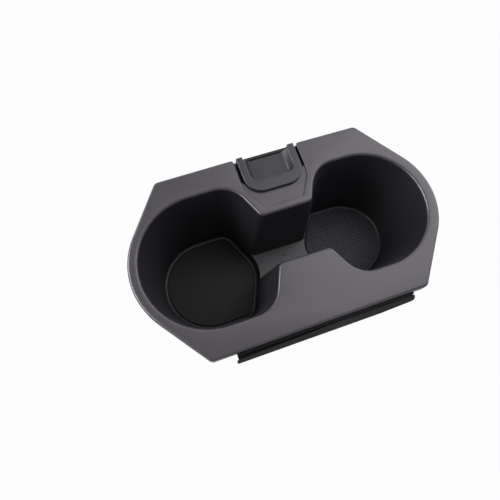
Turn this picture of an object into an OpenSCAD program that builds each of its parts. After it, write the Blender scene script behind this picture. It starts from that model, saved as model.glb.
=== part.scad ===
// Drop-in double cup holder for a car's centre console. The deck is level, +X runs along its
// length, +Y points to the latch side, and the part stands on the undersides of its two cups at z = 0.

/* [Deck] */
// Length of the deck from one rounded end to the other
deck_len = 221.2; // [218:0.2:226]
// Depth of the deck from its front edge to its back edge
deck_wid = 128; // [126:0.5:134]
// Plan radius of the two rounded ends
deck_end_r = 51.2; // [49:0.2:54]
// Length of the straight front and back edges, corner to corner
deck_flat_len = 152; // [148:1:158]
// Plan radius of the four corners
deck_corner_r = 4.5; // [3:0.5:8]
// Thickness of the deck
deck_t = 2.6; // [2.2:0.1:3]
// Radius along the deck's outer top edge
deck_edge_r = 1.8; // [1:0.2:2]
// Height of the skirt round the deck
skirt_h = 9; // [8:0.5:11]
// Thickness of the skirt
skirt_t = 2.2; // [1.8:0.1:2.6]
// Thickness of the ribs between the cups and the skirt
rib_t = 1.8; // [1.4:0.1:2.4]

/* [Cups] */
// Depth of the cups from the deck to the top of the mats
cup_depth = 70; // [68:1:80]
// Wall thickness of the cups and the bay
wall_t = 2.4; // [2:0.1:2.8]
// Thickness of the cup floors
floor_t = 2.8; // [2.4:0.1:3.6]
// Draft of the cup and bay walls, in degrees
wall_draft = 7.3; // [6.6:0.1:7.8]
// Radius of the rolled rim round the opening
rim_r = 3.4; // [2.4:0.1:4]
// Radius between the cup walls and floors
floor_fillet_r = 3; // [2:0.5:4]
// Plan radius of the shoulders that lead from each cup to the bay
shoulder_r = 20; // [18:0.5:22]
// Depth of the shallow hollow under each cup
foot_hollow_d = 0.8; // [0.4:0.1:1.2]
// Width of the ring that each cup stands on
foot_ring_w = 8; // [5:0.5:10]

/* [Large cup] */
// Distance of the large cup's axis from the middle of the deck
large_cup_x = 57.6; // [57:0.2:58.6]
// Radius of the large cup at the deck
large_cup_r = 45.3; // [44.6:0.1:45.8]
// Distance of its shoulder's centre from the middle of the deck
large_shoulder_x = 40; // [39:0.5:42]
// Angle of its flank beside the bay, from the Y axis
large_flank_angle = 24; // [22:0.5:26]
// Draft of that flank, in degrees
large_flank_draft = 6.4; // [5.8:0.1:7]

/* [Small cup] */
// Distance of the small cup's axis from the middle of the deck
small_cup_x = 60; // [59:0.2:62]
// Radius of the small cup at the deck
small_cup_r = 41.4; // [40.6:0.1:42.4]
// Distance of its shoulder's centre from the middle of the deck
small_shoulder_x = 49; // [48:0.5:50]
// Angle of its flank beside the bay, from the Y axis
small_flank_angle = 26; // [24:0.5:28]
// Draft of that flank, in degrees
small_flank_draft = 4.2; // [3.6:0.1:5]

/* [Bay] */
// Width of the bay between the cups, from front to back
bay_wid = 34; // [32:0.5:36]
// Depth of the bay's shelf below the deck
bay_depth = 62; // [58:0.5:63]
// Plan radius of the deck's corners at the bay
bay_corner_r = 5; // [4.6:0.1:6]

/* [Mats] */
// Thickness of the rubber mats
mat_t = 2.2; // [1.6:0.1:3]
// Gap between a mat and the rounded foot of the wall
mat_gap = 0.4; // [0.3:0.1:1]
// Height and width of the bevel round a mat
mat_bevel = 0.8; // [0.4:0.1:1.2]

/* [Latch recess] */
// Place of the latch and the slide rail along the deck
latch_x = 5.2; // [4:0.2:6.4]
// Width of the recess in the deck
recess_wid = 48; // [47:0.5:50]
// Length of the recess from the back edge
recess_len = 40.5; // [39.5:0.5:41.5]
// Depth of the recess below the deck
recess_d = 1.4; // [1:0.1:1.8]
// Width that each slanted front corner takes off the recess
recess_cut_x = 9.5; // [8:0.5:10]
// Length of the slanted front corners
recess_cut_y = 16.5; // [15:0.5:17]
// Plan radius at the recess's front corners
recess_front_r = 1.8; // [1:0.2:3]
// Thickness of the recess's floor
recess_floor_t = 2.2; // [1.8:0.1:2.6]
// Radius where the recess's sides meet its slanted corners
recess_side_r = 14; // [8:1:18]

/* [Latch knob] */
// Width of the finger pull
knob_wid = 43.5; // [42.5:0.5:44]
// Length of the finger pull from front to back
knob_len = 29.5; // [28.5:0.5:30]
// Plan radius of its front corners
knob_corner_r = 13; // [11:0.5:14]
// Width of its two arms
knob_arm_w = 5.3; // [4.8:0.1:6]
// Width of its front rim
knob_rim_w = 9; // [8:0.5:10]
// Height of the pull above the deck
knob_rise = 1.2; // [0.8:0.1:1.8]
// Radius of its top edges
knob_edge_r = 0.8; // [0.4:0.1:1]
// Depth of the finger pocket at its front
pocket_d_front = 6; // [5:0.25:7]
// Depth of the finger pocket at its back
pocket_d_back = 3.2; // [2.5:0.1:4]
// Plan radius of the pocket's front corners
pocket_r = 6; // [4:0.5:8]
// How far each side of the pocket slopes in
pocket_slope = 3.6; // [2:0.2:5]
// How much each slanted front corner takes off the seat under the cap, both ways
seat_cut = 8.5; // [7:0.25:8.5]
// Wall and floor thickness of the finger pull
knob_wall_t = 1.8; // [1.5:0.1:2.2]

/* [Latch slider] */
// How far the latch slides to let go
latch_travel = 5; // [4:0.5:5.5]
// Thickness of the slider's plate
slider_t = 2.4; // [2:0.1:3]
// Half width of the slider's two legs
slider_leg_x = 14.8; // [13.5:0.1:15.2]
// Thickness of the slider's walls and legs
slider_wall_t = 2; // [1.6:0.1:2.4]
// Depth of the slider's rear wall below the deck
slider_back_d = 2.5; // [2:0.1:3]
// Width of the bolt
bolt_wid = 20; // [16:1:24]
// Thickness of the bolt
bolt_t = 4; // [3:0.25:5]
// Depth of the bolt's top below the deck
bolt_d = 15.5; // [15:0.5:17]
// How far the bolt stands out behind the deck
bolt_reach = 6; // [5.5:0.25:7]
// Running clearance round the slider
slide_gap = 0.3; // [0.2:0.05:0.4]

/* [Springs] */
// Distance of each spring from the middle of the latch
spring_x = 9; // [7:0.5:10]
// Mean coil radius of the springs
spring_r = 2.6; // [2.4:0.1:2.8]
// Wire diameter of the springs
spring_wire = 0.5; // [0.4:0.05:0.6]
// Turns of each spring
spring_turns = 6; // [5:1:7]
// Radius of the posts that hold the springs
post_r = 1.6; // [1.3:0.1:1.8]
// Length of the posts
post_len = 4; // [3:0.5:4.5]
// Distance from the recess's front edge to the wall behind the springs
spring_wall_in = 1; // [0.5:0.25:2]

/* [Retainer and screws] */
// Thickness of the retainer plate
retainer_t = 2.2; // [1.8:0.1:3]
// Thickness of the guide walls beside the slider
guide_t = 2.2; // [1.8:0.1:2.6]
// Outer radius of the screw bosses
boss_r = 3.2; // [2.9:0.1:3.4]
// Gap between the springs and the front bosses
boss_spring_gap = 3.5; // [2.5:0.5:4.5]
// How far the back bosses run into the guide walls
boss_sink = 0.4; // [0.2:0.1:0.8]
// Gap between the back bosses and the skirt
boss_skirt_gap = 1.5; // [1:0.25:2.5]
// Plan radius of the retainer plate's corners
retainer_corner_r = 3; // [2:0.5:3]
// Core radius of the retainer's screws
screw_r = 1.2; // [1:0.05:1.4]
// Length of the retainer's screws under the head
screw_len = 10; // [8:0.5:12]
// Head radius of the retainer's screws
screw_head_r = 2.8; // [2.4:0.1:3]
// Head height of the retainer's screws
screw_head_h = 1.8; // [1.4:0.1:2.2]
// Core radius of the finger pull's screws
knob_screw_r = 1.1; // [0.9:0.05:1.2]
// Length of the finger pull's screws under the head
knob_screw_len = 6.5; // [5.5:0.25:7]
// Head radius of the finger pull's screws
knob_screw_head_r = 2.2; // [1.8:0.1:2.4]
// Head height of the finger pull's screws
knob_screw_head_h = 1.4; // [1:0.1:1.6]
// Clearance between a screw's core and its pilot hole
pilot_gap = 0.05; // [0.03:0.01:0.08]
// Clearance round a screw in a plate that it passes through
screw_gap = 0.3; // [0.2:0.05:0.5]

/* [Slide rail] */
// Length of the slide rail on the front skirt
rail_len = 129; // [120:1:135]
// How far the rail stands out in front of the deck
rail_reach = 6; // [5.5:0.25:7]
// Depth of the rail's top below the deck
rail_d = 3.2; // [2.8:0.1:3.6]
// Height of the rail
rail_h = 5.8; // [5.4:0.1:6.4]
// Thickness of the rail's web and foot
rail_t = 1.6; // [1.4:0.1:2]
// Height of the rail's lip above its foot
lip_h = 2; // [1.4:0.1:2.6]
// Width of the lip at the large cup's end
lip_w_start = 2.1; // [1.8:0.1:2.4]
// Width of the lip at the small cup's end
lip_w_end = 3.8; // [3:0.1:4]
// How far the lip runs past each end of the web
lip_over = 1.3; // [0.8:0.1:2]
// Number of hooks that hold the rail
rail_hooks = 4; // [3:1:5]
// Width of a hook
hook_wid = 6; // [5:0.5:8]
// Thickness of a hook
hook_t = 1.6; // [1.2:0.1:1.8]
// Height of the hooks above the rail's foot
hook_rise = 1.4; // [1:0.1:1.6]
// Height of a hook's barb
barb_h = 1; // [0.7:0.1:1.2]
// Clearance round a hook in its window
hook_gap = 0.25; // [0.2:0.05:0.3]

/* [Hidden] */
$fn = 48;

// Numbers of straight steps in the arcs of the outlines
big_steps = 14;
shoulder_steps = 6;
corner_steps = 4;
edge_steps = 3;
rim_steps = 4;
coil_steps = 12;
wire_sides = 6;
hollow_fn = 96;

deck_z = cup_depth + mat_t + floor_t;
floor_depth = cup_depth + mat_t;
half_wid = deck_wid / 2;
over = 1;

// Each cup as [distance of its axis, radius, shoulder's distance, flank angle, flank draft, side]
LARGE = [large_cup_x, large_cup_r, large_shoulder_x, large_flank_angle, large_flank_draft, -1];
SMALL = [small_cup_x, small_cup_r, small_shoulder_x, small_flank_angle, small_flank_draft, 1];

// Latch heights as depths below the deck, and places along Y
knob_back_y = half_wid;
knob_front_y = knob_back_y - knob_len;
pocket_front_y = knob_front_y + knob_rim_w;
knob_seat_d = pocket_d_front + knob_wall_t;
slider_low_d = bolt_d + bolt_t;
retainer_d = slider_low_d + slide_gap;
slider_back_y = knob_back_y - slide_gap;
slider_front_y = pocket_front_y - knob_wall_t;
flange_x = recess_wid / 2 - slide_gap;
flange_back_y = slider_back_y - slider_wall_t;
notch_front_y = pocket_front_y - knob_wall_t - latch_travel - 2 * slide_gap;
// The notch's front corners stay clear of the seat's when the latch is pulled
notch_cut = seat_cut + (recess_wid - knob_wid) / 2 - slide_gap;
spring_d = (knob_seat_d + slider_t + slider_low_d) / 2;
recess_front_y = half_wid - recess_len;
spring_wall_y = recess_front_y + spring_wall_in;
// Angle over which each end of a spring lies flat
closed_turn = 270;
knob_arm_x = (knob_wid - knob_arm_w) / 2;
knob_screw_y = (pocket_front_y + knob_back_y) / 2;

// Retainer screw places, as [x from the latch's middle, y]
front_boss_y = recess_front_y + boss_r + guide_t;
front_boss_x = spring_x + spring_r + boss_r + boss_spring_gap;
back_boss_x = recess_wid / 2 + guide_t + boss_r - boss_sink;
back_boss_y = half_wid - skirt_t - boss_r - boss_skirt_gap;
BOSSES = [[-front_boss_x, front_boss_y], [front_boss_x, front_boss_y],
          [-back_boss_x, back_boss_y], [back_boss_x, back_boss_y]];

// Slide rail
rail_low_d = rail_d + rail_h;
hook_d = rail_low_d - rail_t - hook_t - hook_rise;
hook_pitch = rail_len / rail_hooks;

function flip(points) = [for (i = [len(points) - 1 : -1 : 0]) points[i]];
function mirror_x(points) = [for (p = points) [-p.x, p.y]];
function arc(c, r, a0, a1, n) = [for (i = [0 : n]) let (a = a0 + (a1 - a0) * i / n)
    [c.x + r * cos(a), c.y + r * sin(a)]];

// Corners of a polygon rounded by arcs that touch both sides; a radius of 0 keeps a corner sharp
function corner_arc(p, q, s, r, n) =
    let (u = (p - q) / norm(p - q), v = (s - q) / norm(s - q),
         half = acos(u * v) / 2, m = (u + v) / norm(u + v), c = q + m * r / sin(half),
         a0 = atan2(-m.y, -m.x), turn = sign(u.x * v.y - u.y * v.x) * (90 - half))
    r == 0 ? [q] : arc(c, r, a0 + turn, a0 - turn, n);
function rounded(points, radii, n) = [for (i = [0 : len(points) - 1])
    let (k = len(points), r = radii[i])
    each corner_arc(points[(i + k - 1) % k], points[i], points[(i + 1) % k], r, n)];

// A whole outline from its half with y >= 0, whose ends lie on the X axis
function whole(half) = concat(half, [for (i = [len(half) - 2 : -1 : 1]) [half[i].x, -half[i].y]]);
function at_depth(points, depth) = [for (p = points) [p.x, p.y, deck_z - depth]];

// Cup outline at a depth below the deck, grown outwards by grow. It is worked out for a cup on the
// -X side: the round back of the cup, its shoulder, and the flank that leans towards the bay.
function wall_in(depth, grow) = depth * tan(wall_draft) - grow;
function flank_in(cup, depth, grow) = depth * tan(cup[4]) - grow;
function flank_n(cup) = [cos(cup[3]), sin(cup[3])];
function flank_h(cup, depth, grow) = flank_n(cup) * [-cup[2], cup[1] - shoulder_r] + shoulder_r
    - flank_in(cup, depth, grow);
function cup_back(cup, depth, grow) =
    let (d = wall_in(depth, grow), n = flank_n(cup), y = cup[1] - shoulder_r,
         x = (flank_h(cup, depth, grow) - (shoulder_r - d) - n.y * y) / n.x)
    concat(arc([-cup[0], 0], cup[1] - d, 180, 90, big_steps),
           arc([x, y], shoulder_r - d, 90, cup[3], shoulder_steps));

// The deck's corner between a cup's flank and the bay, with the same radius all the way down
function corner_c(cup, depth, grow) =
    let (r = bay_corner_r - grow, y = bay_wid / 2 - wall_in(depth, grow) + r, n = flank_n(cup))
    [(flank_h(cup, depth, grow) + r - n.y * y) / n.x, y];
function bay_corner(cup, depth, grow) =
    arc(corner_c(cup, depth, grow), bay_corner_r - grow, cup[3] + 180, 270, corner_steps);

// The crest that closes a cup below the shelf: an arc that touches both flanks, starting where the
// bay's corner leaves the flank at the shelf's depth
function crest_r(cup, shelf, grow) =
    (corner_c(cup, shelf, grow).y - (bay_corner_r - grow) * sin(cup[3])) / sin(cup[3]);
function crest(cup, shelf, depth, grow) =
    let (r = crest_r(cup, shelf, grow), n = flank_n(cup),
         x = (flank_h(cup, shelf, grow) - r) / n.x,
         shrink = flank_in(cup, depth, grow) - flank_in(cup, shelf, grow))
    arc([x, 0], r - shrink, cup[3], 0, corner_steps);

function open_half(depth, grow) = concat(
    cup_back(LARGE, depth, grow), bay_corner(LARGE, depth, grow),
    mirror_x(flip(bay_corner(SMALL, depth, grow))), mirror_x(flip(cup_back(SMALL, depth, grow))));
function cup_half(cup, shelf, depth, grow) =
    concat(cup_back(cup, depth, grow), crest(cup, shelf, depth, grow));

// Outline of the deck, inset by d: round ends, straight slants that touch them, small corners
slant_c = [deck_len / 2 - deck_end_r, 0];
slant_p = [deck_flat_len / 2, half_wid];
slant_a = 180 - atan2(half_wid, slant_p.x - slant_c.x) + acos(deck_end_r / norm(slant_p - slant_c));
function deck_half(d) =
    let (n = [cos(slant_a), sin(slant_a)], h = n * [-slant_c.x, 0] + deck_end_r,
         y = half_wid - deck_corner_r, x = (h - deck_corner_r - n.y * y) / n.x,
         side = concat(arc([-slant_c.x, 0], deck_end_r - d, 180, slant_a, shoulder_steps),
                       arc([x, y], deck_corner_r - d, slant_a, 90, corner_steps)))
    concat(side, mirror_x(flip(side)));

// Faces: walls between rings of equal length, and caps in strips across the X axis
function wall_faces(a, b) = let (n = len(a)) [for (i = [0 : n - 1]) let (j = (i + 1) % n)
    [a[i], b[i], b[j], a[j]]];
function cap_faces(ring) = let (n = len(ring) / 2) [for (i = [0 : n - 1])
    let (m = len(ring), k = (m - i) % m, l = m - i - 1)
    i == 0 ? [ring[0], ring[1], ring[m - 1]] :
    i == n - 1 ? [ring[i], ring[i + 1], ring[k]] : [ring[i], ring[i + 1], ring[l], ring[k]]];
function turned(faces) = [for (f = faces) flip(f)];
function span(start, count) = [for (i = [0 : count - 1]) start + i];

// A solid lofted through rings of equal length, highest ring first
module loft(rings) {
    n = len(rings[0]);
    last = len(rings) - 1;
    polyhedron(
        points = [for (r = rings) each r],
        faces = concat(cap_faces(span(0, n)), turned(cap_faces(span(last * n, n))),
            [for (i = [0 : last - 1]) each wall_faces(span(i * n, n), span((i + 1) * n, n))]));
}

// Both cups and the bay as one solid. tops and feet list [depth, grow] from the top down; the last
// of tops is the shelf, below which the cups go on apart.
module wells(tops, feet) {
    shelf = tops[len(tops) - 1];
    upper = [for (t = tops) at_depth(whole(open_half(t[0], t[1])), t[0])];
    n = len(upper[0]);
    half = n / 2;
    back_l = big_steps + shoulder_steps + 2;
    base = (len(tops) - 1) * n;
    crest_n = 2 * corner_steps - 1;
    // The crests at the shelf, without the ends that the opening's ring already has
    left_crest = crest(LARGE, shelf[0], shelf[0], shelf[1]);
    right_crest = mirror_x(crest(SMALL, shelf[0], shelf[0], shelf[1]));
    function inner(points) = [for (i = [1 : crest_n]) i <= corner_steps ? points[i]
        : [points[2 * corner_steps - i].x, -points[2 * corner_steps - i].y]];
    left_at = base + n;
    right_at = left_at + crest_n;
    feet_at = right_at + crest_n;
    left_ring = concat(span(base, back_l + 1), span(left_at, crest_n),
        [for (i = [back_l : -1 : 1]) base + n - i]);
    right_ring = concat([for (i = [0 : back_l]) base + half - i], span(right_at, crest_n),
        [for (i = [back_l : -1 : 1]) base + half + i]);
    m = len(left_ring);
    left_feet = [for (f = feet) at_depth(whole(cup_half(LARGE, shelf[0], f[0], f[1])), f[0])];
    right_feet = [for (f = feet)
        at_depth(mirror_x(whole(cup_half(SMALL, shelf[0], f[0], f[1]))), f[0])];
    function foot_ring(side, i) = i < 0 ? (side == 0 ? left_ring : right_ring)
        : span(feet_at + (side * len(feet) + i) * m, m);
    // Shelf: strips between each crest and the bay's corner, and a fan across the middle
    function up(i) = base + i;
    function down(i) = base + (n - i) % n;
    corner_l = back_l;
    corner_r = half - back_l;
    function shelf_strip(at, step, ring_at, first) = [for (i = [0 : corner_steps - 1])
        let (a = i == 0 ? first(at) : ring_at(i - 1), b = ring_at(i), c = first(at + step * (i + 1)),
             d = first(at + step * i))
        i == 0 ? [a, b, c] : [a, b, c, d]];
    up_l = function (i) up(i);
    down_l = function (i) down(i);
    left_up = function (i) left_at + i;
    left_down = function (i) left_at + crest_n - 1 - i;
    right_up = function (i) right_at + i;
    right_down = function (i) right_at + crest_n - 1 - i;
    apex_l = left_at + corner_steps - 1;
    apex_r = right_at + corner_steps - 1;
    end_l = corner_l + corner_steps;
    end_r = corner_r - corner_steps;
    polyhedron(
        points = concat([for (r = upper) each r],
            at_depth(inner(left_crest), shelf[0]), at_depth(inner(right_crest), shelf[0]),
            [for (r = left_feet) each r], [for (r = right_feet) each r]),
        faces = concat(
            cap_faces(span(0, n)),
            [for (i = [0 : len(tops) - 2]) each wall_faces(span(i * n, n), span((i + 1) * n, n))],
            [for (i = [0 : len(feet) - 1]) each wall_faces(foot_ring(0, i - 1), foot_ring(0, i))],
            [for (i = [0 : len(feet) - 1])
                each turned(wall_faces(foot_ring(1, i - 1), foot_ring(1, i)))],
            turned(cap_faces(foot_ring(0, len(feet) - 1))),
            cap_faces(foot_ring(1, len(feet) - 1)),
            shelf_strip(corner_l, 1, left_up, up_l),
            turned(shelf_strip(corner_l, 1, left_down, down_l)),
            turned(shelf_strip(corner_r, -1, right_up, up_l)),
            shelf_strip(corner_r, -1, right_down, down_l),
            [[apex_l, up(end_r), up(end_l)], [apex_l, apex_r, up(end_r)],
             [apex_l, down(end_r), apex_r], [apex_l, down(end_l), down(end_r)]]));
}

// Fillet round a cup's foot, as [depth, grow] from the wall to the floor at depth
function foot_fillet(depth, r, grow) = [for (i = [0 : edge_steps]) let (a = 90 * i / edge_steps)
    [depth - r + r * sin(a), grow - r + r * cos(a)]];

// The rolled rim flares the opening outwards, and the top ring lifts the cut clear of the deck
module well_cut() {
    rim = [for (i = [rim_steps : -1 : 0]) let (a = 90 * i / rim_steps)
        [rim_r * (1 - sin(a)), rim_r * (1 - cos(a))]];
    wells(concat([[-over, rim_r]], rim, [[bay_depth, 0]]),
          foot_fillet(floor_depth, floor_fillet_r, 0));
}

module well_shell() {
    wells([[deck_t / 2, wall_t], [bay_depth + wall_t, wall_t]],
          foot_fillet(deck_z, floor_fillet_r, wall_t));
}

// The deck's outline as a prism from the undersides of the cups to the deck, its top edge rounded
module deck_block() {
    linear_extrude(deck_z - deck_edge_r) polygon(whole(deck_half(0)));
    for (i = [1 : edge_steps]) let (a = 90 * i / edge_steps)
        linear_extrude(deck_z - deck_edge_r * (1 - sin(a)))
            polygon(whole(deck_half(deck_edge_r * (1 - cos(a)))));
}

// A block given by its lower and upper depths, from x0 to x1 and y0 to y1
module block(x0, x1, y0, y1, low_d, high_d) {
    translate([x0, y0, deck_z - low_d]) cube([x1 - x0, y1 - y0, low_d - high_d]);
}

// The same block on both sides of the latch
module pair_block(x0, x1, y0, y1, low_d, high_d) {
    for (s = [0, 1]) translate([latch_x, 0, 0]) mirror([s, 0, 0])
        block(x0, x1, y0, y1, low_d, high_d);
}

module recess_outline() {
    w = recess_wid / 2;
    cut_y = recess_front_y + recess_cut_y;
    translate([latch_x, 0]) polygon(rounded(
        [[-w, half_wid + over], [-w, cut_y], [-w + recess_cut_x, recess_front_y],
         [w - recess_cut_x, recess_front_y], [w, cut_y], [w, half_wid + over]],
        [0, recess_side_r, recess_front_r, recess_front_r, recess_side_r, 0], shoulder_steps));
}

// Notch in the back part of the recess, in which the finger pull slides
module notch_outline() {
    w = recess_wid / 2;
    cut_y = notch_front_y + notch_cut;
    translate([latch_x, 0]) polygon([[-w, half_wid + over], [-w, cut_y],
        [-w + notch_cut, notch_front_y], [w - notch_cut, notch_front_y],
        [w, cut_y], [w, half_wid + over]]);
}

// Ribs from each cup to the skirt: at the end, square to the slants and to the long edges
module ribs() {
    for (s = [0, 1]) mirror([s, 0, 0]) {
        cup = s == 0 ? LARGE : SMALL;
        slant_reach = [cos(slant_a), sin(slant_a)] * [cup[0] - slant_c.x, 0] + deck_end_r;
        for (rib = [[180, deck_len / 2 - cup[0]], [slant_a, slant_reach], [90, half_wid]],
             side = rib[0] == 180 ? [1] : [1, -1]) {
            start = cup[1] - wall_in(skirt_h, 0);
            translate([-cup[0], 0, 0]) rotate(side * rib[0]) translate([start, -rib_t / 2, 0])
                block(0, rib[1] - skirt_t / 2 - start, 0, rib_t, skirt_h - rib_t, deck_t / 2);
        }
    }
}

// Under the deck: guide walls and ledges for the slider, the spring wall and the screw bosses
module latch_guides() {
    w = recess_wid / 2;
    ledge_x = knob_wid / 2 + slide_gap;
    low = knob_seat_d - slide_gap;
    roof = recess_d + recess_floor_t / 2;
    stop_y = flange_back_y + slide_gap;
    pair_block(w, w + guide_t, notch_front_y, stop_y + guide_t, retainer_d, deck_t / 2);
    pair_block(ledge_x, w + guide_t / 2, notch_front_y, flange_back_y, low, low - guide_t);
    pair_block(ledge_x, w + guide_t / 2, stop_y, stop_y + guide_t,
        low + slide_gap + slider_t, low - guide_t);
    block(latch_x - front_boss_x, latch_x + front_boss_x, spring_wall_y, spring_wall_y + guide_t,
        retainer_d, roof);
    for (s = [-1, 1])
        translate([latch_x + s * spring_x, spring_wall_y + guide_t / 2, deck_z - spring_d])
            rotate([-90, 0, 0]) cylinder(r = post_r, h = post_len + guide_t / 2);
    for (b = BOSSES) translate([latch_x + b.x, b.y, deck_z - retainer_d])
        cylinder(r = boss_r, h = retainer_d - roof);
}

module hook_windows() {
    for (i = [0 : rail_hooks - 1])
        translate([latch_x + (i - (rail_hooks - 1) / 2) * hook_pitch, 0, 0])
            block(-hook_wid / 2 - hook_gap, hook_wid / 2 + hook_gap, -half_wid - over,
                -half_wid + skirt_t + over, hook_d + hook_t + hook_gap, hook_d - barb_h - hook_gap);
}

// All that is open below the deck: it leaves the skirt, the shells of the cups and the bay, the ribs,
// the floor of the latch recess and the latch's guides
module under_deck() {
    difference() {
        union() {
            translate([0, 0, -over]) linear_extrude(deck_z - deck_t + over)
                polygon(whole(deck_half(skirt_t)));
            block(-deck_len, deck_len, -deck_wid, deck_wid, deck_z + over, skirt_h);
            translate([0, 0, deck_z - skirt_h - over]) linear_extrude(skirt_h + 2 * over)
                notch_outline();
        }
        well_shell();
        ribs();
        recess_floor();
        latch_guides();
    }
}

// Floor of the latch recess, hung below the deck in front of the notch and round its corners
module recess_floor() {
    w = recess_wid / 2 + skirt_t;
    cut_y = recess_front_y + recess_cut_y;
    front_y = recess_front_y - skirt_t;
    back_y = notch_front_y + notch_cut;
    translate([0, 0, deck_z - recess_d - recess_floor_t]) linear_extrude(recess_floor_t)
        difference() {
            translate([latch_x, 0]) polygon([[-w, back_y], [-w, cut_y], [-w + recess_cut_x, front_y],
                [w - recess_cut_x, front_y], [w, cut_y], [w, back_y]]);
            notch_outline();
        }
}

module tray() {
    color([0.36, 0.355, 0.375]) difference() {
        deck_block();
        under_deck();
        well_cut();
        translate([0, 0, deck_z - recess_d]) linear_extrude(recess_d + over) recess_outline();
        for (b = BOSSES) translate([latch_x + b.x, b.y, deck_z - retainer_d - over])
            cylinder(r = screw_r + pilot_gap, h = screw_len - retainer_t + 2 * over);
        for (cup = [LARGE, SMALL]) translate([cup[5] * cup[0], 0, -over])
            cylinder(r = cup[1] - wall_in(deck_z, wall_t) - floor_fillet_r - foot_ring_w,
                h = over + foot_hollow_d, $fn = hollow_fn);
        hook_windows();
    }
}

// A mat on a cup's floor, bevelled round its top edge
module mat(cup) {
    edge = -floor_fillet_r - mat_gap;
    levels = [[cup_depth, edge - mat_bevel], [cup_depth + mat_bevel, edge], [floor_depth, edge]];
    half = function (level) cup_half(cup, bay_depth, floor_depth, level[1]);
    mirror([cup[5] > 0 ? 1 : 0, 0, 0]) loft([for (l = levels) at_depth(whole(half(l)), l[0])]);
}

module large_cup_mat() {
    color([0.13, 0.13, 0.14]) mat(LARGE);
}

module small_cup_mat() {
    color([0.19, 0.19, 0.22]) mat(SMALL);
}

module knob_outline(d) {
    w = knob_wid / 2 - d;
    r = knob_corner_r - d;
    y0 = knob_front_y + d;
    y1 = knob_back_y - d;
    polygon(rounded([[-w, y1], [-w, y0], [w, y0], [w, y1]], [0, r, r, 0], big_steps));
}

// Finger pull: a U-shaped cap with a sloping pocket that is open at the back
module latch_knob() {
    w = knob_wid / 2;
    rim_low_d = recess_d - slide_gap;
    pocket_w = w - knob_arm_w;
    color([0.36, 0.355, 0.375]) translate([latch_x, 0, 0]) difference() {
        union() {
            translate([0, 0, deck_z - rim_low_d]) linear_extrude(rim_low_d + knob_rise - knob_edge_r)
                knob_outline(0);
            for (i = [1 : edge_steps]) let (a = 90 * i / edge_steps, z = knob_edge_r * sin(a))
                translate([0, 0, deck_z + knob_rise - knob_edge_r]) linear_extrude(z)
                    knob_outline(knob_edge_r * (1 - cos(a)));
            translate([0, 0, deck_z - knob_seat_d]) linear_extrude(knob_seat_d)
                polygon([[-w, knob_back_y], [-w, slider_front_y + seat_cut],
                    [-w + seat_cut, slider_front_y], [w - seat_cut, slider_front_y],
                    [w, slider_front_y + seat_cut], [w, knob_back_y]]);
        }
        pocket(pocket_w);
        // The slider's rear wall comes up behind the pocket
        block(-slider_leg_x - slider_wall_t - slide_gap, slider_leg_x + slider_wall_t + slide_gap,
            flange_back_y - slide_gap, knob_back_y + over, knob_seat_d + over, -knob_rise - over);
        for (s = [-1, 1]) translate([s * knob_arm_x, knob_screw_y, deck_z - knob_seat_d - over])
            cylinder(r = knob_screw_r + pilot_gap, h = knob_screw_len - slider_t + 2 * over);
    }
}

// The pocket is cut along its side slopes, with its floor rising to the back
module pocket(w) {
    low_w = w - pocket_slope;
    top = knob_rise + over;
    y1 = knob_back_y + over;
    rise = (pocket_d_front - pocket_d_back) / (knob_back_y - pocket_front_y);
    back_d = pocket_d_front - rise * (y1 - pocket_front_y);
    intersection() {
        translate([0, 0, deck_z - pocket_d_front - over]) linear_extrude(pocket_d_front + over + top)
            polygon(rounded([[-w, y1], [-w, pocket_front_y], [w, pocket_front_y], [w, y1]],
                [0, pocket_r, pocket_r, 0], shoulder_steps));
        translate([0, y1, deck_z]) rotate([90, 0, 0]) linear_extrude(y1 - pocket_front_y)
            polygon([[-low_w, -pocket_d_front], [low_w, -pocket_d_front], [w, 0], [w, top],
                [-w, top], [-w, 0]]);
        translate([-w, 0, deck_z]) rotate([90, 0, 90]) linear_extrude(2 * w)
            polygon([[pocket_front_y, -pocket_d_front], [y1, -back_d], [y1, top], [pocket_front_y, top]]);
    }
}

// Slider under the finger pull, with its flanges, legs, spring posts, rear wall and bolt
module latch_slider() {
    x = slider_leg_x;
    t = slider_wall_t;
    plate_d = knob_seat_d + slider_t;
    tip_y = half_wid + bolt_reach;
    color([0.06, 0.06, 0.065]) translate([latch_x, 0, 0]) difference() {
        union() {
            block(-flange_x, flange_x, slider_front_y + latch_travel / 2, flange_back_y,
                plate_d, knob_seat_d);
            block(-x, x, slider_front_y, slider_front_y + t, slider_low_d, knob_seat_d);
            for (s = [0, 1]) mirror([s, 0, 0])
                block(x - t, x, slider_front_y, slider_back_y, slider_low_d, knob_seat_d);
            block(-x - t, x + t, flange_back_y, slider_back_y, plate_d, slider_back_d);
            block(-x, x, flange_back_y, slider_back_y, slider_low_d, slider_back_d);
            block(-x + t / 2, x - t / 2, slider_front_y + t / 2, slider_back_y, slider_low_d,
                slider_low_d - t);
            // Bolt with a lead-in slope under its tip
            translate([-bolt_wid / 2, 0, deck_z]) rotate([90, 0, 90]) linear_extrude(bolt_wid)
                polygon([[flange_back_y, -bolt_d], [tip_y, -bolt_d], [tip_y, -bolt_d - bolt_t / 4],
                    [half_wid + bolt_reach / 4, -slider_low_d], [flange_back_y, -slider_low_d]]);
            for (s = [-1, 1]) translate([s * spring_x, slider_front_y + t / 2, deck_z - spring_d])
                rotate([90, 0, 0]) cylinder(r = post_r, h = post_len + t / 2);
        }
        for (s = [-1, 1]) translate([s * knob_arm_x, knob_screw_y, deck_z - plate_d - over])
            cylinder(r = knob_screw_r + screw_gap, h = slider_t + 2 * over);
    }
}

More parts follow.
